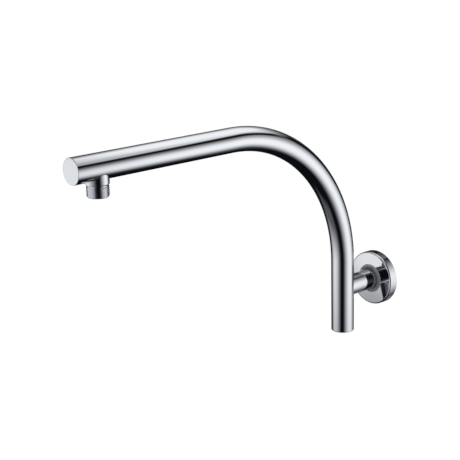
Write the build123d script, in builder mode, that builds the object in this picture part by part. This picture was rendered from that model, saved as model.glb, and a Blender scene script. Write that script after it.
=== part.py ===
from build123d import *
import os

# Arm tube: an upright post, a quarter bend and a level run
tube_od = 25.0
tube_wall = 1.2
reach = 400.0  # wall face to the free end of the run
post_to_wall = 56.0  # post axis to the wall face
foot_drop = 49.0  # inlet axis down to the foot of the post
post_rise = 30.0  # inlet axis up to the start of the bend
bend_radius = 158.0  # measured on the centreline

# Plugs let into the two ends of the tube, flush with its bevelled edges
plug_depth = 6.0
end_bevel = 0.6
foot_bevel = 0.8

# Filler gap at every brazed joint
braze_gap = 0.05

# Half-inch pipe thread, held here at its major diameter
thread_od = 20.955
thread_tip_od = 18.4
water_bore = 14.0

# Outlet that hangs under the run
outlet_from_end = 27.5
neck_od = 22.5
neck_length = 3.9  # below the underside of the tube
neck_taper = 1.5
neck_tip_od = 20.4
relief_od = 19.4
relief_width = 1.2
outlet_thread = 9.8

# Inlet stub between the post and the wall
stub_od = 22.5
shoulder_setback = 6.0  # stub shoulder ahead of the wall face
inlet_thread = 15.0  # thread that stands behind the wall face

# Wall flange, its front a very flat cone, open at the back
flange_od = 60.0
flange_depth = 10.2  # wall face to the outer edge of the cone
flange_rise = 1.0  # from there up to the rubber ring
flange_bevel = 0.8
flange_face = 5.0
flange_rim = 2.0
flange_hole_clearance = 0.5

# Rubber ring between the flange and the stub
seal_section = 4.75
seal_seat = 3.0
seal_proud = 1.5
seal_bevel = 0.8
seal_grip_clearance = 0.05
seal_seat_clearance = 0.05

# Places that several pieces share
tube_radius = tube_od / 2
bore_radius = tube_radius - tube_wall
run_height = post_rise + bend_radius
outlet_x = -reach + outlet_from_end
saddle_radius = tube_radius + braze_gap
plug_radius = bore_radius - braze_gap
thread_radius = thread_od / 2
thread_tip_radius = thread_tip_od / 2
thread_lead = thread_radius - thread_tip_radius
stub_radius = stub_od / 2
water_radius = water_bore / 2
seal_radius = stub_radius + seal_section

os.makedirs("parts", exist_ok=True)

# Bent tube, swept along its centreline, with one water hole for each brazed fitting
with BuildPart() as arm_tube:
    with BuildLine(Plane.XZ) as centreline:
        FilletPolyline(
            (-post_to_wall, -foot_drop),
            (-post_to_wall, run_height),
            (-reach, run_height),
            radius=bend_radius,
        )
    with BuildSketch(Plane.XY.offset(-foot_drop)) as section:
        with Locations((-post_to_wall, 0)):
            Circle(tube_radius)
            Circle(bore_radius, mode=Mode.SUBTRACT)
    sweep()
    end_edges = arm_tube.edges().group_by(Axis.X)[0]
    chamfer(end_edges.sort_by(SortBy.RADIUS)[-1], end_bevel)
    foot_edges = arm_tube.edges().group_by(Axis.Z)[0]
    chamfer(foot_edges.sort_by(SortBy.RADIUS)[-1], foot_bevel)
    with BuildSketch(Plane.YZ.offset(-post_to_wall)) as inlet_hole:
        Circle(water_radius)
    extrude(amount=tube_od, mode=Mode.SUBTRACT)
    with BuildSketch(Plane.XY.offset(run_height)) as outlet_hole:
        with Locations((outlet_x, 0)):
            Circle(water_radius)
    extrude(amount=-tube_od, mode=Mode.SUBTRACT)
arm_tube.part.label = "arm_tube"
export_step(arm_tube.part, "parts/arm_tube.step")

# Plug in the free end of the run
with BuildPart() as end_cap:
    with BuildSketch(Plane.YZ.offset(-reach)) as end_disc:
        with Locations((0, run_height)):
            Circle(plug_radius)
    extrude(amount=plug_depth)
end_cap.part.label = "end_cap"
export_step(end_cap.part, "parts/end_cap.step")

# Plug in the foot of the post
with BuildPart() as foot_cap:
    with BuildSketch(Plane.XY.offset(-foot_drop)) as foot_disc:
        with Locations((-post_to_wall, 0)):
            Circle(plug_radius)
    extrude(amount=plug_depth)
foot_cap.part.label = "foot_cap"
export_step(foot_cap.part, "parts/foot_cap.step")

# Turned outlet, its neck cut to a saddle that sits on the underside of the run
neck_foot = -tube_radius - neck_length
outlet_thread_top = neck_foot - relief_width
outlet_tip = outlet_thread_top - outlet_thread
with BuildPart() as outlet_nipple:
    with BuildSketch(Plane((outlet_x, 0, run_height), x_dir=(1, 0, 0), z_dir=(0, -1, 0))) as outlet_turning:
        with BuildLine() as outlet_profile:
            Polyline(
                (water_radius, 0),
                (neck_od / 2, 0),
                (neck_od / 2, neck_foot + neck_taper),
                (neck_tip_od / 2, neck_foot),
                (relief_od / 2, neck_foot),
                (relief_od / 2, outlet_thread_top),
                (thread_radius, outlet_thread_top),
                (thread_radius, outlet_tip + thread_lead),
                (thread_tip_radius, outlet_tip),
                (water_radius, outlet_tip),
                close=True,
            )
        make_face()
    revolve(axis=Axis((outlet_x, 0, run_height), (0, 0, 1)))
    with BuildSketch(Plane.YZ.offset(outlet_x - neck_od)) as outlet_saddle:
        with Locations((0, run_height)):
            Circle(saddle_radius)
    extrude(amount=2 * neck_od, mode=Mode.SUBTRACT)
outlet_nipple.part.label = "outlet_nipple"
export_step(outlet_nipple.part, "parts/outlet_nipple.step")

# Turned stub, cut to a saddle against the post and threaded where it enters the wall
with BuildPart() as inlet_stub:
    with BuildSketch(Plane.XZ) as stub_turning:
        with BuildLine() as stub_profile:
            Polyline(
                (-post_to_wall, water_radius),
                (-post_to_wall, stub_radius),
                (-shoulder_setback, stub_radius),
                (-shoulder_setback, thread_radius),
                (inlet_thread - thread_lead, thread_radius),
                (inlet_thread, thread_tip_radius),
                (inlet_thread, water_radius),
                close=True,
            )
        make_face()
    revolve(axis=Axis.X)
    with BuildSketch(Plane.XY.offset(-stub_od)) as stub_saddle:
        with Locations((-post_to_wall, 0)):
            Circle(saddle_radius)
    extrude(amount=2 * stub_od, mode=Mode.SUBTRACT)
inlet_stub.part.label = "inlet_stub"
export_step(inlet_stub.part, "parts/inlet_stub.step")

# Turned cover disc: coned front, thin rim that meets the wall, a seat for the ring round its hole
flange_radius = flange_od / 2
flange_front = -flange_depth
seat_radius = seal_radius + seal_seat_clearance
seat_front = flange_front - flange_rise
seat_floor = seat_front + seal_seat
hole_radius = stub_radius + flange_hole_clearance
with BuildPart() as wall_flange:
    with BuildSketch(Plane.XZ) as flange_turning:
        with BuildLine() as flange_profile:
            Polyline(
                (seat_front, seat_radius),
                (flange_front, flange_radius - flange_bevel),
                (flange_front + flange_bevel, flange_radius),
                (0, flange_radius),
                (0, flange_radius - flange_rim),
                (flange_front + flange_face, flange_radius - flange_rim),
                (flange_front + flange_face, hole_radius),
                (seat_floor, hole_radius),
                (seat_floor, seat_radius),
                close=True,
            )
        make_face()
    revolve(axis=Axis.X)
wall_flange.part.label = "wall_flange"
export_step(wall_flange.part, "parts/wall_flange.step")

# Rubber ring in the seat of the flange, standing a little proud of its face
seal_front = seat_front - seal_proud
seal_grip = stub_radius + seal_grip_clearance
with BuildPart() as flange_seal:
    with BuildSketch(Plane.XZ) as seal_turning:
        with BuildLine() as seal_profile:
            Polyline(
                (seal_front, seal_grip),
                (seal_front, seal_radius - seal_bevel),
                (seal_front + seal_bevel, seal_radius),
                (seat_floor, seal_radius),
                (seat_floor, seal_grip),
                close=True,
            )
        make_face()
    revolve(axis=Axis.X)
flange_seal.part.label = "flange_seal"
export_step(flange_seal.part, "parts/flange_seal.step")
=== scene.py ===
import math

import bmesh
import bpy
from mathutils import Matrix, Vector


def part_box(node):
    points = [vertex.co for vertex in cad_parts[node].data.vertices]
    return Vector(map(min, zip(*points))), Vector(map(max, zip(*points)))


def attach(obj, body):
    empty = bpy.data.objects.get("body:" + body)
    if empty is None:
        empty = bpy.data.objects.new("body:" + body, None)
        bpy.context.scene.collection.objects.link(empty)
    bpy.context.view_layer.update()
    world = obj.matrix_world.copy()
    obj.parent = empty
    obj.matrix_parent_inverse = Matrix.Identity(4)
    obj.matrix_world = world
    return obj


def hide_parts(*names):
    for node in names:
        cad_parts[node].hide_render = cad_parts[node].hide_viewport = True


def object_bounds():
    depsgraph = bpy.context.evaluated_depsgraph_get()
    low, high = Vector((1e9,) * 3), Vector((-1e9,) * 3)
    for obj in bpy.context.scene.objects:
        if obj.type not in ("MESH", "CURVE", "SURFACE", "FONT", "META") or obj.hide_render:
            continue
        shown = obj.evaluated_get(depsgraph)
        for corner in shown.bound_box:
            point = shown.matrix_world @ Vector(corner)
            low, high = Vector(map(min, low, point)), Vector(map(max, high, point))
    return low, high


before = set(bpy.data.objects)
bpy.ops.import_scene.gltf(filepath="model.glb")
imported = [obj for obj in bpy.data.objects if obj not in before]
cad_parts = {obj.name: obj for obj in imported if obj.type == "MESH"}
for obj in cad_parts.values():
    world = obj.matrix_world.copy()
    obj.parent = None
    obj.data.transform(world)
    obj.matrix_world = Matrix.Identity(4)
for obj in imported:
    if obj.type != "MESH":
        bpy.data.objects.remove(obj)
cadLow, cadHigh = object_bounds()
scene = bpy.context.scene
scene.view_settings.view_transform = "Standard"
print("frame loaded:", ", ".join(sorted(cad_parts)))

mm = 0.001
quarterTurn = math.pi / 2
fullTurn = math.pi * 2
allSmooth = 180.0  # degrees, which no edge bends by


# Smooth step from 0 at low to 1 at high
def ramp(value, low, high):
    t = min(max((value - low) / (high - low), 0.0), 1.0)
    return t * t * (3.0 - 2.0 * t)


# Edges that bend by more than sharpAngle stay sharp
def addObject(name, points, faces, sharpAngle=allSmooth):
    mesh = bpy.data.meshes.new(name)
    mesh.from_pydata(points, [], faces)
    shape = bmesh.new()
    shape.from_mesh(mesh)
    bmesh.ops.recalc_face_normals(shape, faces=shape.faces)
    shape.to_mesh(mesh)
    shape.free()
    mesh.shade_smooth()
    mesh.set_sharp_from_angle(angle=math.radians(sharpAngle))
    made = bpy.data.objects.new(name, mesh)
    scene.collection.objects.link(made)
    return made


# Faces between two closed loops of point numbers
def stitchLoops(here, there):
    count = len(here)
    return [(here[k], here[(k + 1) % count], there[(k + 1) % count], there[k]) for k in range(count)]


# Rings of equal count, each joined to the next and the last one to the first
def skinRings(name, rings, sharpAngle):
    count = len(rings[0])
    points = [point for ring in rings for point in ring]
    loops = [range(row * count, (row + 1) * count) for row in range(len(rings))]
    faces = []
    for here, there in zip(loops, loops[1:] + loops[:1]):
        faces += stitchLoops(here, there)
    return addObject(name, points, faces, sharpAngle)


# Camera at the photograph's viewing angle

viewPoint = {
    "place": (-0.94165, -0.83014, 0.40408),
    "yaw": 41.078,  # degrees from +Y towards +X
    "pitch": -15.512,
    "roll": -1.583,
    "lens": 90.39,
    "sensor": 36.0,
}


def makeCamera(values):
    yaw, pitch, roll = (math.radians(values[k]) for k in ("yaw", "pitch", "roll"))
    level = math.cos(pitch)
    ahead = Vector((math.sin(yaw) * level, math.cos(yaw) * level, math.sin(pitch)))
    side = Vector((math.cos(yaw), -math.sin(yaw), 0.0))
    top = side.cross(ahead)
    right = side * math.cos(roll) + top * math.sin(roll)
    up = top * math.cos(roll) - side * math.sin(roll)
    aim = Matrix((right, up, -ahead)).transposed().to_4x4()
    data = bpy.data.cameras.new("photoCamera")
    data.sensor_width = values["sensor"]
    data.lens = values["lens"]
    camera = bpy.data.objects.new("photoCamera", data)
    camera.matrix_world = Matrix.Translation(values["place"]) @ aim
    scene.collection.objects.link(camera)
    scene.camera = camera


makeCamera(viewPoint)
print("camera set")


# Node helpers

floatSocket, colourSocket = "NodeSocketFloat", "NodeSocketColor"


def addNode(tree, kind, **settings):
    made = tree.nodes.new(kind)
    for key, value in settings.items():
        setattr(made, key, value)
    return made


def setInputs(node, **values):
    for key, value in values.items():
        node.inputs[key.replace("_", " ")].default_value = value
    return node


def newMaterial(name):
    material = bpy.data.materials.new(name)
    material.use_nodes = True
    return material, material.node_tree, material.node_tree.nodes["Principled BSDF"]


def newGroup(name, inputs, outputs):
    tree = bpy.data.node_groups.new(name, "ShaderNodeTree")
    for label, kind in inputs.items():
        tree.interface.new_socket(label, in_out="INPUT", socket_type=kind)
    for label, kind in outputs.items():
        tree.interface.new_socket(label, in_out="OUTPUT", socket_type=kind)
    return tree, addNode(tree, "NodeGroupInput"), addNode(tree, "NodeGroupOutput")


def placeGroup(tree, group, **values):
    return setInputs(addNode(tree, "ShaderNodeGroup", node_tree=group), **values)


# The surface goes from the first shader to the second with the share
def mixSurface(tree, output, share, first, second):
    mix = addNode(tree, "ShaderNodeMixShader")
    tree.links.new(share, mix.inputs[0])
    tree.links.new(first.outputs[0], mix.inputs[1])
    tree.links.new(second.outputs[0], mix.inputs[2])
    tree.links.new(mix.outputs[0], tree.nodes[output].inputs["Surface"])


# Noise that stays with the piece
def addCloud(tree, **values):
    place = addNode(tree, "ShaderNodeTexCoord")
    cloud = setInputs(addNode(tree, "ShaderNodeTexNoise"), **values)
    tree.links.new(place.outputs["Object"], cloud.inputs["Vector"])
    return cloud


# Distance along the inlet's axis and distance out from it
def addAxisPlace(tree):
    place = addNode(tree, "ShaderNodeTexCoord")
    split = addNode(tree, "ShaderNodeSeparateXYZ")
    flat = addNode(tree, "ShaderNodeCombineXYZ")
    radius = addNode(tree, "ShaderNodeVectorMath", operation="LENGTH")
    tree.links.new(place.outputs["Object"], split.inputs[0])
    tree.links.new(split.outputs["Y"], flat.inputs["Y"])
    tree.links.new(split.outputs["Z"], flat.inputs["Z"])
    tree.links.new(flat.outputs[0], radius.inputs[0])
    return split.outputs["X"], radius.outputs["Value"]


# 1 for the camera and for what the metal mirrors, 0 for the light that falls on matt surfaces
def seenByEye(tree):
    path = addNode(tree, "ShaderNodeLightPath")
    first = addNode(tree, "ShaderNodeMath", operation="MAXIMUM")
    second = addNode(tree, "ShaderNodeMath", operation="MAXIMUM")
    tree.links.new(path.outputs["Is Camera Ray"], first.inputs[0])
    tree.links.new(path.outputs["Is Glossy Ray"], first.inputs[1])
    tree.links.new(first.outputs[0], second.inputs[0])
    tree.links.new(path.outputs["Is Transmission Ray"], second.inputs[1])
    return second.outputs[0]


# White surroundings for what the camera and the metal see, a plain level for the rest
studio = {
    "paper": (1.0, 1.0, 1.0, 1.0),
    "white": 1.0,
    "fill": 0.14,  # even light on matt surfaces
    "lampStrength": 3.1,
    "lampSpread": 45.0,
    "lampTilt": (-22.0, 0.0, 0.0),
    "floorDrop": 0.65,  # floor below the foot of the post
    "floorSize": 60.0,
    "floorGlow": 0.80,  # glow and matt tone that the camera and the metal see
    "floorTone": (0.20, 0.20, 0.20, 1.0),
    "floorPaint": (0.8, 0.8, 0.8, 1.0),  # paint that the rest of the light meets
    "floorRoughness": 0.9,
}


def makeWorld(values):
    world = bpy.data.worlds.new("whiteStudio")
    scene.world = world
    world.use_nodes = True
    tree = world.node_tree
    even = setInputs(tree.nodes["Background"], Color=values["paper"], Strength=values["fill"])
    white = addNode(tree, "ShaderNodeBackground")
    setInputs(white, Color=values["paper"], Strength=values["white"])
    mixSurface(tree, "World Output", seenByEye(tree), even, white)


def makeFloor(values):
    material, tree, paint = newMaterial("paleFloor")
    setInputs(paint, Base_Color=values["floorPaint"], Roughness=values["floorRoughness"])
    glow = setInputs(addNode(tree, "ShaderNodeEmission"), Strength=values["floorGlow"])
    matt = setInputs(addNode(tree, "ShaderNodeBsdfDiffuse"), Color=values["floorTone"])
    both = addNode(tree, "ShaderNodeAddShader")
    tree.links.new(glow.outputs[0], both.inputs[0])
    tree.links.new(matt.outputs[0], both.inputs[1])
    mixSurface(tree, "Material Output", seenByEye(tree), paint, both)
    half, level = values["floorSize"] / 2, cadLow.z - values["floorDrop"]
    corners = [(-half, -half, level), (half, -half, level), (half, half, level), (-half, half, level)]
    floor = addObject("paleFloor", corners, [(0, 1, 2, 3)])
    floor.data.materials.append(material)


def makeLamp(values):
    data = bpy.data.lights.new("softLamp", "SUN")
    data.energy = values["lampStrength"]
    data.angle = math.radians(values["lampSpread"])
    lamp = bpy.data.objects.new("softLamp", data)
    lamp.rotation_euler = [math.radians(turn) for turn in values["lampTilt"]]
    lamp.visible_glossy = False
    scene.collection.objects.link(lamp)


makeWorld(studio)
makeFloor(studio)
makeLamp(studio)
print("white studio lit")


# A dark tent round the arm, which only the polished metal sees: soft windows let the white studio in
# and black flags shade them. Directions are azimuth from -Y towards +X and elevation, in degrees.
# Each side of a window or flag fades from its first to its second angle
tent = {
    "radius": 0.7,
    "middle": (-0.20, 0.0, 0.08),
    "tone": (0.0037, 0.0045, 0.0064, 1.0),
    "step": 1.5,  # degrees between the points of the cloth
    "windows": [
        {"use": "overhead box", "towards": (123.0, 60.0), "tilt": 0.09, "lean": -0.03, "level": 1.0,
         "left": (41.5, 77.0), "right": (4.0, 62.0), "up": (7.5, 26.0), "down": (3.0, 37.0)},
        {"use": "overhead wing", "towards": (71.0, 51.0), "tilt": -0.09, "lean": 0.0, "level": 0.71,
         "left": (4.0, 95.0), "right": (34.0, 51.0), "up": (20.0, 45.0), "down": (2.0, 11.0)},
        {"use": "front panel", "towards": (47.0, -6.0), "tilt": 0.02, "lean": 0.09, "level": 1.0,
         "left": (4.5, 78.0), "right": (0.0, 53.0), "up": (1.5, 47.5), "down": (9.0, 60.0)},
        {"use": "side panel", "towards": (-143.0, 0.0), "tilt": -0.08, "lean": 0.07, "level": 0.84,
         "left": (1.0, 50.0), "right": (11.0, 94.0), "up": (5.0, 10.0), "down": (19.0, 53.0)},
        {"use": "low glow", "towards": (-125.0, -50.0), "tilt": -0.05, "lean": 0.0, "level": 0.09,
         "left": (32.0, 68.0), "right": (22.0, 66.0), "up": (2.0, 30.0), "down": (10.0, 25.0)},
        {"use": "rear glow", "towards": (101.5, -34.5), "tilt": 0.52, "lean": 0.0, "level": 0.19,
         "left": (9.5, 13.5), "right": (8.5, 14.5), "up": (21.5, 73.0), "down": (3.0, 8.5)},
        {"use": "rear corner", "towards": (139.5, -9.5), "tilt": 0.59, "lean": -0.30, "level": 0.11,
         "left": (5.5, 11.5), "right": (14.0, 35.0), "up": (36.5, 84.5), "down": (1.0, 25.5)},
        {"use": "left overhead box", "towards": (-128.5, 73.5), "tilt": 0.37, "lean": 0.15, "level": 0.37,
         "left": (17.5, 20.5), "right": (20.0, 130.0), "up": (0.0, 22.0), "down": (3.0, 70.0)},
        # These four light the sides, the back and the top
        {"use": "high front box", "towards": (-4.0, 57.0), "tilt": 0.0, "lean": 0.0, "level": 0.9,
         "left": (10.0, 22.0), "right": (4.0, 15.0), "up": (11.0, 27.0), "down": (6.0, 18.0)},
        {"use": "high back box", "towards": (-174.0, 47.0), "tilt": 0.0, "lean": 0.0, "level": 0.9,
         "left": (6.0, 18.0), "right": (8.0, 20.0), "up": (18.0, 36.0), "down": (10.0, 24.0)},
        {"use": "ceiling box", "towards": (-122.0, 74.0), "tilt": 0.0, "lean": 0.0, "level": 0.9,
         "left": (45.0, 60.0), "right": (32.0, 47.0), "up": (5.0, 13.0), "down": (7.0, 12.0)},
        {"use": "end box", "towards": (-90.0, 15.0), "tilt": 0.0, "lean": 0.0, "level": 0.9,
         "left": (14.0, 24.0), "right": (12.0, 20.0), "up": (6.0, 13.0), "down": (8.0, 14.0)},
    ],
    "flags": [
        {"use": "seam", "towards": (34.5, 40.0), "tilt": -0.24, "lean": 1.26, "level": 1.0,
         "left": (5.0, 36.0), "right": (32.0, 61.5), "up": (3.4, 7.5), "down": (3.4, 8.5)},
        {"use": "core", "towards": (86.0, 13.0), "tilt": -0.22, "lean": -0.21, "level": 1.0,
         "left": (0.0, 6.0), "right": (18.5, 25.0), "up": (15.0, 18.0), "down": (4.5, 68.0)},
        {"use": "camera", "towards": (-48.5, -28.0), "tilt": -0.32, "lean": 0.04, "level": 1.0,
         "left": (3.5, 6.5), "right": (19.0, 24.5), "up": (29.0, 43.0), "down": (16.5, 114.5)},
    ],
}


def shareCovered(patch, azimuth, elevation):
    turn = (azimuth - patch["towards"][0] + 180.0) % 360.0 - 180.0
    rise = elevation - patch["towards"][1] - patch["tilt"] * turn
    turn -= patch["lean"] * rise
    across = ramp(abs(turn), *patch["right" if turn > 0.0 else "left"])
    along = ramp(abs(rise), *patch["up" if rise > 0.0 else "down"])
    return patch["level"] * (1.0 - across) * (1.0 - along)


def clothThere(values, azimuth, elevation):
    cloth, clear = 1.0, 1.0
    for window in values["windows"]:
        cloth *= 1.0 - shareCovered(window, azimuth, elevation)
    for flag in values["flags"]:
        clear *= 1.0 - shareCovered(flag, azimuth, elevation)
    return 1.0 - (1.0 - cloth) * clear


def makeTentCloth(values):
    material, tree, shader = newMaterial("darkTentCloth")
    tree.nodes.remove(shader)
    amount = addNode(tree, "ShaderNodeAttribute", attribute_name="cover")
    clear = addNode(tree, "ShaderNodeBsdfTransparent")
    cloth = setInputs(addNode(tree, "ShaderNodeEmission"), Color=values["tone"])
    mixSurface(tree, "Material Output", amount.outputs["Fac"], clear, cloth)
    return material


def makeTent(values):
    middle = Vector(values["middle"])
    columns, rows = round(360.0 / values["step"]), round(180.0 / values["step"])
    points, covers, faces = [], [], []
    for row in range(rows + 1):
        elevation = -90.0 + row * values["step"]
        for column in range(columns):
            azimuth = column * values["step"]
            lift, turn = math.radians(elevation), math.radians(azimuth)
            level = math.cos(lift)
            out = Vector((math.sin(turn) * level, -math.cos(turn) * level, math.sin(lift)))
            points.append(middle + out * values["radius"])
            covers.append(clothThere(values, azimuth, elevation))
    loops = [range(row * columns, (row + 1) * columns) for row in range(rows + 1)]
    for here, there in zip(loops, loops[1:]):
        faces += stitchLoops(here, there)
    made = addObject("darkTent", points, faces)
    cover = made.data.attributes.new("cover", "FLOAT", "POINT")
    cover.data.foreach_set("value", covers)
    made.data.materials.append(makeTentCloth(values))
    made.visible_camera = False
    made.visible_diffuse = False
    made.visible_transmission = False
    made.visible_volume_scatter = False
    made.visible_shadow = False


makeTent(tent)
for kind in ("windows", "flags"):
    print("reflection tent", kind + ":", ", ".join(patch["use"] for patch in tent[kind]))


# Shared finish effects

polishCloud = {"Detail": 5.0, "Roughness": 0.62}
polishRange = {"From_Min": 0.32, "From_Max": 0.72}  # what most of the cloud lies between
tintCloud = {"Detail": 3.0, "Roughness": 0.55}
markNoise = {"Detail": 2.0, "Roughness": 0.5}


def makePolishHaze():
    inputs = {"Scale": floatSocket, "Bright": floatSocket, "Dull": floatSocket}
    group, given, put = newGroup("polishHaze", inputs, {"Roughness": floatSocket})
    cloud = addCloud(group, **polishCloud)
    spread = setInputs(addNode(group, "ShaderNodeMapRange"), **polishRange)
    group.links.new(given.outputs["Scale"], cloud.inputs["Scale"])
    group.links.new(cloud.outputs["Fac"], spread.inputs["Value"])
    group.links.new(given.outputs["Bright"], spread.inputs["To Min"])
    group.links.new(given.outputs["Dull"], spread.inputs["To Max"])
    group.links.new(spread.outputs["Result"], put.inputs["Roughness"])
    return group


def makePlatingTint():
    inputs = {"Clear": colourSocket, "Film": colourSocket, "Scale": floatSocket}
    group, given, put = newGroup("platingTint", inputs, {"Color": colourSocket})
    cloud = addCloud(group, **tintCloud)
    mix = addNode(group, "ShaderNodeMix", data_type="RGBA")
    group.links.new(given.outputs["Scale"], cloud.inputs["Scale"])
    group.links.new(cloud.outputs["Fac"], mix.inputs["Factor"])
    group.links.new(given.outputs["Clear"], mix.inputs["A"])
    group.links.new(given.outputs["Film"], mix.inputs["B"])
    group.links.new(mix.outputs["Result"], put.inputs["Color"])
    return group


# Fine marks that run round the inlet's axis
def makeToolLines():
    group, given, put = newGroup("toolLines", {"Scale": floatSocket}, {"Height": floatSocket})
    along, radius = addAxisPlace(group)
    pair = addNode(group, "ShaderNodeCombineXYZ")
    lines = setInputs(addNode(group, "ShaderNodeTexNoise"), **markNoise)
    group.links.new(along, pair.inputs["X"])
    group.links.new(radius, pair.inputs["Y"])
    group.links.new(pair.outputs[0], lines.inputs["Vector"])
    group.links.new(given.outputs["Scale"], lines.inputs["Scale"])
    group.links.new(lines.outputs["Fac"], put.inputs["Height"])
    return group


polishHaze = makePolishHaze()
platingTint = makePlatingTint()
toolLines = makeToolLines()
print("finish effects made")

chromeTubeFinish = {
    "name": "chromeTube",
    "clear": (0.858, 0.880, 0.920, 1.0),
    "film": (0.834, 0.858, 0.900, 1.0),
    "tintScale": 14.0,
    "hazeScale": 26.0,
    "bright": 0.025,
    "dull": 0.060,
    "lineScale": 1400.0,
    "lineStrength": 0.02,
    "lineDepth": 0.2 * mm,
}


def makeChrome(values):
    material, tree, shader = newMaterial(values["name"])
    tint = placeGroup(tree, platingTint, Clear=values["clear"], Film=values["film"],
                      Scale=values["tintScale"])
    haze = placeGroup(tree, polishHaze, Bright=values["bright"], Dull=values["dull"],
                      Scale=values["hazeScale"])
    lines = placeGroup(tree, toolLines, Scale=values["lineScale"])
    bump = addNode(tree, "ShaderNodeBump")
    setInputs(bump, Strength=values["lineStrength"], Distance=values["lineDepth"])
    setInputs(shader, Metallic=1.0)
    tree.links.new(tint.outputs["Color"], shader.inputs["Base Color"])
    tree.links.new(haze.outputs["Roughness"], shader.inputs["Roughness"])
    tree.links.new(lines.outputs["Height"], bump.inputs["Height"])
    tree.links.new(bump.outputs["Normal"], shader.inputs["Normal"])
    return material


chromeTube = makeChrome(chromeTubeFinish)
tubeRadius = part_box("arm_tube")[1].y

armTube = {
    "bore": 11.3 * mm,
    "bendRadius": 158.0 * mm,
    "bendSteps": 60,
    "columns": 160,
    "footRound": 0.8 * mm,
    "endRound": 0.35 * mm,
    "roundSteps": 4,
    "footHold": 1.6 * mm,  # from each end to a ring that keeps the long skin true
    "endHold": 0.7 * mm,
    "waterHole": 7.0 * mm,
    "holeSquare": 7.3 * mm,  # half the square that is left open in the grid for a water hole
    "holeRows": 24,
    "holeColumns": 18,
    "sharpAngle": 20.0,
}


# The centreline from the foot up the post, round the bend and out along the run
def measureLine(values):
    low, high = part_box("arm_tube")
    bend, postX = values["bendRadius"], high.x - tubeRadius
    post = high.z - tubeRadius - bend - low.z
    full = post + bend * quarterTurn + postX - bend - low.x
    return {"foot": low.z, "postX": postX, "post": post, "bend": bend, "end": low.x, "full": full}


# Distance along the centreline from the foot, angle round it from +Y towards the outside of the bend
def tubePoint(line, distance, angle, radius):
    post, bend = line["post"], line["bend"]
    turn = min(max((distance - post) / bend, 0.0), quarterTurn)
    rest = max(distance - post - bend * quarterTurn, 0.0)
    outside = Vector((math.cos(turn), 0.0, math.sin(turn)))
    centre = Vector((line["postX"] - bend - rest, 0.0, line["foot"] + min(distance, post)))
    across = outside * math.sin(angle) + Vector((0.0, math.cos(angle), 0.0))
    return centre + outside * bend + across * radius


# Place of a row of a hole's square, from the hole's middle
def holeRowPlace(values, row):
    return values["holeSquare"] * (2.0 * row / values["holeRows"] - 1.0)


# Distances of the plain rings: round the bend, across each hole's square and beside the rounded ends
def tubeStations(values, line, holes):
    steps = values["bendSteps"]
    stations = [line["post"] + line["bend"] * quarterTurn * step / steps for step in range(steps + 1)]
    for middle, _ in holes:
        stations += [middle + holeRowPlace(values, row) for row in range(values["holeRows"] + 1)]
    stations += [values["footHold"], line["full"] - values["endHold"]]
    return sorted(stations)


# Rings of (distance, radius) up the outside with its rounded ends, and back down the bore
def tubeRings(values, line, stations):
    foot, end = [], []
    for step in range(values["roundSteps"] + 1):
        angle = quarterTurn * step / values["roundSteps"]
        sink, reach = 1.0 - math.sin(angle), 1.0 - math.cos(angle)
        foot.append((values["footRound"] * reach, tubeRadius - values["footRound"] * sink))
        end.append((line["full"] - values["endRound"] * reach, tubeRadius - values["endRound"] * sink))
    outer = foot + [(distance, tubeRadius) for distance in stations] + end[::-1]
    inner = [(distance, values["bore"]) for distance in [line["full"], *reversed(stations), 0.0]]
    return outer, inner


# Steps of (row, columns over) round the square that is left open for a hole
def walkSquare(values):
    rows, half = values["holeRows"], values["holeColumns"]
    walk = [(0, over) for over in range(-half, half)]
    walk += [(row, half) for row in range(rows)]
    walk += [(rows, -over) for over in range(-half, half)]
    walk += [(rows - row, -half) for row in range(rows)]
    return walk


# Edge of a hole on the skin with this radius, with a point for each step round its square
def holeEdge(values, line, hole, radius):
    middle, column = hole
    edge = []
    for row, over in walkSquare(values):
        along = holeRowPlace(values, row)
        across = tubeRadius * math.sin(fullTurn * over / values["columns"])
        pull = values["waterHole"] / math.hypot(along, across)
        angle = fullTurn * column / values["columns"] + math.asin(across * pull / radius)
        edge.append(tubePoint(line, middle + along * pull, angle, radius))
    return edge


def makeArmTube(values):
    line, walk, columns = measureLine(values), walkSquare(values), values["columns"]
    outletLow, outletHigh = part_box("outlet_nipple")
    outletX = (outletLow.x + outletHigh.x) / 2
    # Each hole has its distance and its column: one for the stub, one for the outlet
    holes = [(-line["foot"], columns // 4), (line["full"] - outletX + line["end"], columns * 3 // 4)]
    stations = tubeStations(values, line, holes)
    outer, inner = tubeRings(values, line, stations)
    rings = outer + inner
    points = [tubePoint(line, distance, fullTurn * column / columns, radius)
              for distance, radius in rings for column in range(columns)]

    def corner(row, column):
        return row % len(rings) * columns + column % columns

    # Each hole: a band from the open square to the hole's edge on both skins, and its wall between them
    opened, faces = set(), []
    for hole in holes:
        middle, column = hole
        station = stations.index(middle + holeRowPlace(values, 0))
        first = values["roundSteps"] + 1 + station
        last = len(outer) + len(stations) - station
        for row in range(values["holeRows"]):
            for over in range(-values["holeColumns"], values["holeColumns"]):
                opened.add((first + row, (column + over) % columns))
                opened.add((last - 1 - row, (column + over) % columns))
        loops = [[corner(first + row, column + over) for row, over in walk]]
        for radius in (tubeRadius, values["bore"]):
            loops.append(range(len(points), len(points) + len(walk)))
            points += holeEdge(values, line, hole, radius)
        loops.append([corner(last - row, column + over) for row, over in walk])
        for here, there in zip(loops, loops[1:]):
            faces += stitchLoops(here, there)
    for row in range(len(rings)):
        for column in range(columns):
            if (row, column) not in opened:
                faces.append((corner(row, column), corner(row, column + 1),
                              corner(row + 1, column + 1), corner(row + 1, column)))
    made = addObject("armTube", points, faces, values["sharpAngle"])
    made.data.materials.append(chromeTube)
    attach(made, "arm")
    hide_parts("arm_tube")


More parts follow.
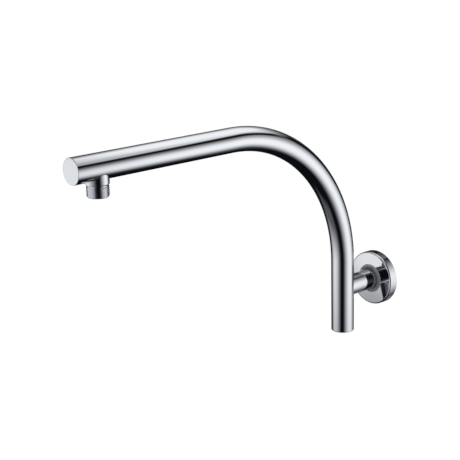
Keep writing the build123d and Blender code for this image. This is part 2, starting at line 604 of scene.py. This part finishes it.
makeArmTube(armTube)
for node in ("end_cap", "foot_cap"):
    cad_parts[node].data.materials.clear()
    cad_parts[node].data.materials.append(chromeTube)
print("tube bent and plugged")


# Rings of (along, radius) pairs, which placePoint turns to their places
def skinTurned(name, rings, placePoint, sharpAngle):
    placed = []
    for ring in rings:
        placed.append([placePoint(along, radius, fullTurn * column / len(ring))
                       for column, (along, radius) in enumerate(ring)])
    return skinRings(name, placed, sharpAngle)


def aroundInlet(along, radius, angle):
    return (along, radius * math.cos(angle), radius * math.sin(angle))


softCorner = {
    "steps": 8,
    "most": 0.45,  # of a face's length that one rounding may take
    "hold": 1.1,  # in roundings from the corner, a ring that keeps the long face beside it true
}


# Closed outline of (along, radius) points from corners that are each rounded off by their third value
def softOutline(corners):
    steps, most, hold = softCorner["steps"], softCorner["most"], softCorner["hold"]
    outline = []
    for k, corner in enumerate(corners):
        here, soft = Vector(corner[:2]), corner[2]
        if soft == 0.0:
            outline.append(here)
            continue
        before = Vector(corners[k - 1][:2]) - here
        after = Vector(corners[(k + 1) % len(corners)][:2]) - here
        start = here + before * min(soft / before.length, most)
        end = here + after * min(soft / after.length, most)
        outline.append(here + (start - here) * hold)
        for step in range(steps + 1):
            t = step / steps
            outline.append(start * (1.0 - t) ** 2 + here * 2.0 * t * (1.0 - t) + end * t ** 2)
        outline.append(here + (end - here) * hold)
    return outline


wallFlange = {
    "rise": 1.05 * mm,  # the front is a very flat cone
    "face": 6.0 * mm,
    "rim": 2.0 * mm,
    "holeRoom": 0.5 * mm,
    "seatRoom": 0.05 * mm,
    "edgeRound": 1.8 * mm,
    "soft": 0.2 * mm,  # rounding of the other turned edges
    "columns": 192,
    "sharpAngle": 40.0,
}


def makeFlange(values):
    low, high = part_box("wall_flange")
    ring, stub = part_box("flange_seal"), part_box("inlet_stub")
    front, back, radius, soft = low.x, high.x, high.z, values["soft"]
    seat, seatFloor = ring[1].z + values["seatRoom"], ring[1].x
    hole, well = stub[1].z + values["holeRoom"], radius - values["rim"]
    inside = front + values["face"]
    corners = [
        (front, seat, soft), (front + values["rise"], radius, values["edgeRound"]),
        (back, radius, soft), (back, well, soft), (inside, well, soft), (inside, hole, soft),
        (seatFloor, hole, soft), (seatFloor, seat, soft),
    ]
    rings = [[point] * values["columns"] for point in softOutline(corners)]
    made = skinTurned("wallFlange", rings, aroundInlet, values["sharpAngle"])
    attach(made, "flange")
    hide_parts("wall_flange")
    return made


chromeFlangeFinish = dict(chromeTubeFinish, name="chromeFlange", lineScale=2200.0, lineStrength=0.03)
makeFlange(wallFlange).data.materials.append(makeChrome(chromeFlangeFinish))
print("flange turned")


# Pipe thread shared by the outlet and the inlet: a helix of rounded crests round a water bore
pipeThread = {
    "pitch": 1.814 * mm,
    "depth": 1.162 * mm,
    "crest": 10.4775 * mm,
    "flank": (0.10, 0.90),  # shares of the way from root to crest where the flank starts and ends
    "leadRadius": 9.2 * mm,
    "bore": 7.0 * mm,
    "boreEdge": 0.5 * mm,
    "rowsPerTurn": 14,
    "columns": 128,
    "sharpAngle": 40.0,
}


def threadRadius(along, angle):
    phase = (along / pipeThread["pitch"] - angle / fullTurn) % 1.0
    slope = 1.0 - abs(2.0 * phase - 1.0)
    return pipeThread["crest"] - pipeThread["depth"] * (1.0 - ramp(slope, *pipeThread["flank"]))


def plainRing(along, radius):
    return [(along, radius)] * pipeThread["columns"]


# Ring cut to sit on the tube, which crosses the axis at zero
def saddleRing(radius):
    ring = []
    for column in range(pipeThread["columns"]):
        across = radius * math.cos(fullTurn * column / pipeThread["columns"])
        ring.append((math.sqrt(tubeRadius ** 2 - across ** 2), radius))
    return ring


# A threaded length, cut back by a cone at each end, and the edge of the bore at its tip
def threadRings(start, tip, startRadius):
    bore, boreEdge = pipeThread["bore"], pipeThread["boreEdge"]
    count = max(2, round(abs(tip - start) / pipeThread["pitch"] * pipeThread["rowsPerTurn"]))
    rings = []
    for row in range(count + 1):
        along = start + (tip - start) * row / count
        cone = min(startRadius + abs(along - start), pipeThread["leadRadius"] + abs(tip - along))
        ring = []
        for column in range(pipeThread["columns"]):
            angle = fullTurn * column / pipeThread["columns"]
            ring.append((along, min(threadRadius(along, angle), cone)))
        rings.append(ring)
    return rings + [plainRing(tip, bore + boreEdge), plainRing(tip - boreEdge, bore)]


outlet = {
    "neckRadius": 11.0 * mm,
    "neckHold": 14.7 * mm,  # lengths below the tube's axis, down the neck to the thread
    "neckBend": 14.95 * mm,
    "neckTaper": 15.2 * mm,
    "neckTurn": 15.85 * mm,
    "neckEnd": 16.1 * mm,
    "threadStart": 16.9 * mm,
    "taperRadius": 10.9375 * mm,
    "turnRadius": 10.3 * mm,
    "endRadius": 10.2 * mm,
    "reliefRadius": 9.7 * mm,
    "startRadius": 9.95 * mm,
}


def makeOutlet(values):
    low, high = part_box("outlet_nipple")
    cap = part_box("end_cap")
    axisX, axisZ = (low.x + high.x) / 2, (cap[0].z + cap[1].z) / 2

    def placePoint(along, radius, angle):
        return (axisX + radius * math.sin(angle), radius * math.cos(angle), axisZ - along)

    rings = [
        saddleRing(pipeThread["bore"]),
        saddleRing(values["neckRadius"]),
        plainRing(values["neckHold"], values["neckRadius"]),
        plainRing(values["neckBend"], values["neckRadius"]),
        plainRing(values["neckTaper"], values["taperRadius"]),
        plainRing(values["neckTurn"], values["turnRadius"]),
        plainRing(values["neckEnd"], values["endRadius"]),
        plainRing(values["neckEnd"], values["reliefRadius"]),
        plainRing(values["threadStart"], values["reliefRadius"]),
    ]
    rings += threadRings(values["threadStart"], axisZ - low.z, values["startRadius"])
    made = skinTurned("outletNipple", rings, placePoint, pipeThread["sharpAngle"])
    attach(made, "arm")
    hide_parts("outlet_nipple")
    return made


inlet = {
    "shoulder": -6.0 * mm,  # ahead of the wall face
    "shoulderEdge": 0.4 * mm,
    "startRadius": 9.3 * mm,
}


def makeInlet(values):
    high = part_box("inlet_stub")[1]
    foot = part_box("foot_cap")
    postX = (foot[0].x + foot[1].x) / 2
    stubRadius, edge = high.z, values["shoulderEdge"]
    shoulder = values["shoulder"] - postX

    def placePoint(along, radius, angle):
        return aroundInlet(postX + along, radius, angle)

    rings = [
        saddleRing(pipeThread["bore"]),
        saddleRing(stubRadius),
        plainRing(shoulder - edge, stubRadius),
        plainRing(shoulder, stubRadius - edge),
    ]
    rings += threadRings(shoulder, high.x - postX, values["startRadius"])
    made = skinTurned("inletStub", rings, placePoint, pipeThread["sharpAngle"])
    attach(made, "arm")
    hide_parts("inlet_stub")
    return made


outletNipple = makeOutlet(outlet)
inletStub = makeInlet(inlet)
chromeTurnedFinish = dict(
    chromeTubeFinish,
    name="chromeTurned",
    bright=0.04,
    dull=0.09,
    lineScale=2600.0,
    lineStrength=0.04,
)
chromeTurned = makeChrome(chromeTurnedFinish)
for piece in (outletNipple, inletStub):
    piece.data.materials.append(chromeTurned)
print("outlet and inlet threaded")


# Grey rubber ring: a round lip stands out of the flange and closes on the stub
seal = {
    "lip": 2.2 * mm,
    "innerSoft": 0.4 * mm,
    "grip": 0.05 * mm,
    "columns": 128,
    "sharpAngle": 50.0,
    "dark": (0.135, 0.144, 0.160, 1.0),  # painted shade next to the stub, where the stub shades the ring
    "pale": (0.345, 0.360, 0.385, 1.0),  # the rubber's tone out on the lip, past the painted shade
    "roughness": 0.55,
    "grain": {"Scale": 2600.0, "Detail": 4.0, "Roughness": 0.6},
    "grainShare": 0.12,
    "grainStrength": 0.03,
    "grainDepth": 0.2 * mm,
}


def makeSeal(values):
    low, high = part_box("flange_seal")
    front, back, outer = low.x, high.x, high.z
    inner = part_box("inlet_stub")[1].z + values["grip"]
    corners = [
        (back, inner, 0.0), (front, inner, values["innerSoft"]),
        (front, outer, values["lip"]), (back, outer, 0.0),
    ]
    rings = [[point] * values["columns"] for point in softOutline(corners)]
    made = skinTurned("rubberSeal", rings, aroundInlet, values["sharpAngle"])
    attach(made, "flange")
    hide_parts("flange_seal")
    return made


# Grey rubber whose colour holds painted shade: darker from the lip in to the stub
def makeRubber(values):
    material, tree, shader = newMaterial("greyRubber")
    _, radius = addAxisPlace(tree)
    # Painted shade: 0 at the stub and 1 out on the lip, mixing from the dark shade to the rubber's tone
    stubShadeRamp = addNode(tree, "ShaderNodeMapRange")
    setInputs(stubShadeRamp, From_Min=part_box("inlet_stub")[1].z, From_Max=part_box("flange_seal")[1].z)
    grain = addCloud(tree, **values["grain"])
    speckle = setInputs(addNode(tree, "ShaderNodeMix"), Factor=values["grainShare"])
    mix = addNode(tree, "ShaderNodeMix", data_type="RGBA")
    setInputs(mix, A=values["dark"], B=values["pale"])
    bump = addNode(tree, "ShaderNodeBump")
    setInputs(bump, Strength=values["grainStrength"], Distance=values["grainDepth"])
    setInputs(shader, Roughness=values["roughness"])
    tree.links.new(radius, stubShadeRamp.inputs["Value"])
    tree.links.new(stubShadeRamp.outputs["Result"], speckle.inputs["A"])
    tree.links.new(grain.outputs["Fac"], speckle.inputs["B"])
    tree.links.new(speckle.outputs["Result"], mix.inputs["Factor"])
    tree.links.new(mix.outputs["Result"], shader.inputs["Base Color"])
    tree.links.new(grain.outputs["Fac"], bump.inputs["Height"])
    tree.links.new(bump.outputs["Normal"], shader.inputs["Normal"])
    return material


rubberSeal = makeSeal(seal)
rubberSeal.data.materials.append(makeRubber(seal))
print("rubber seal fitted")
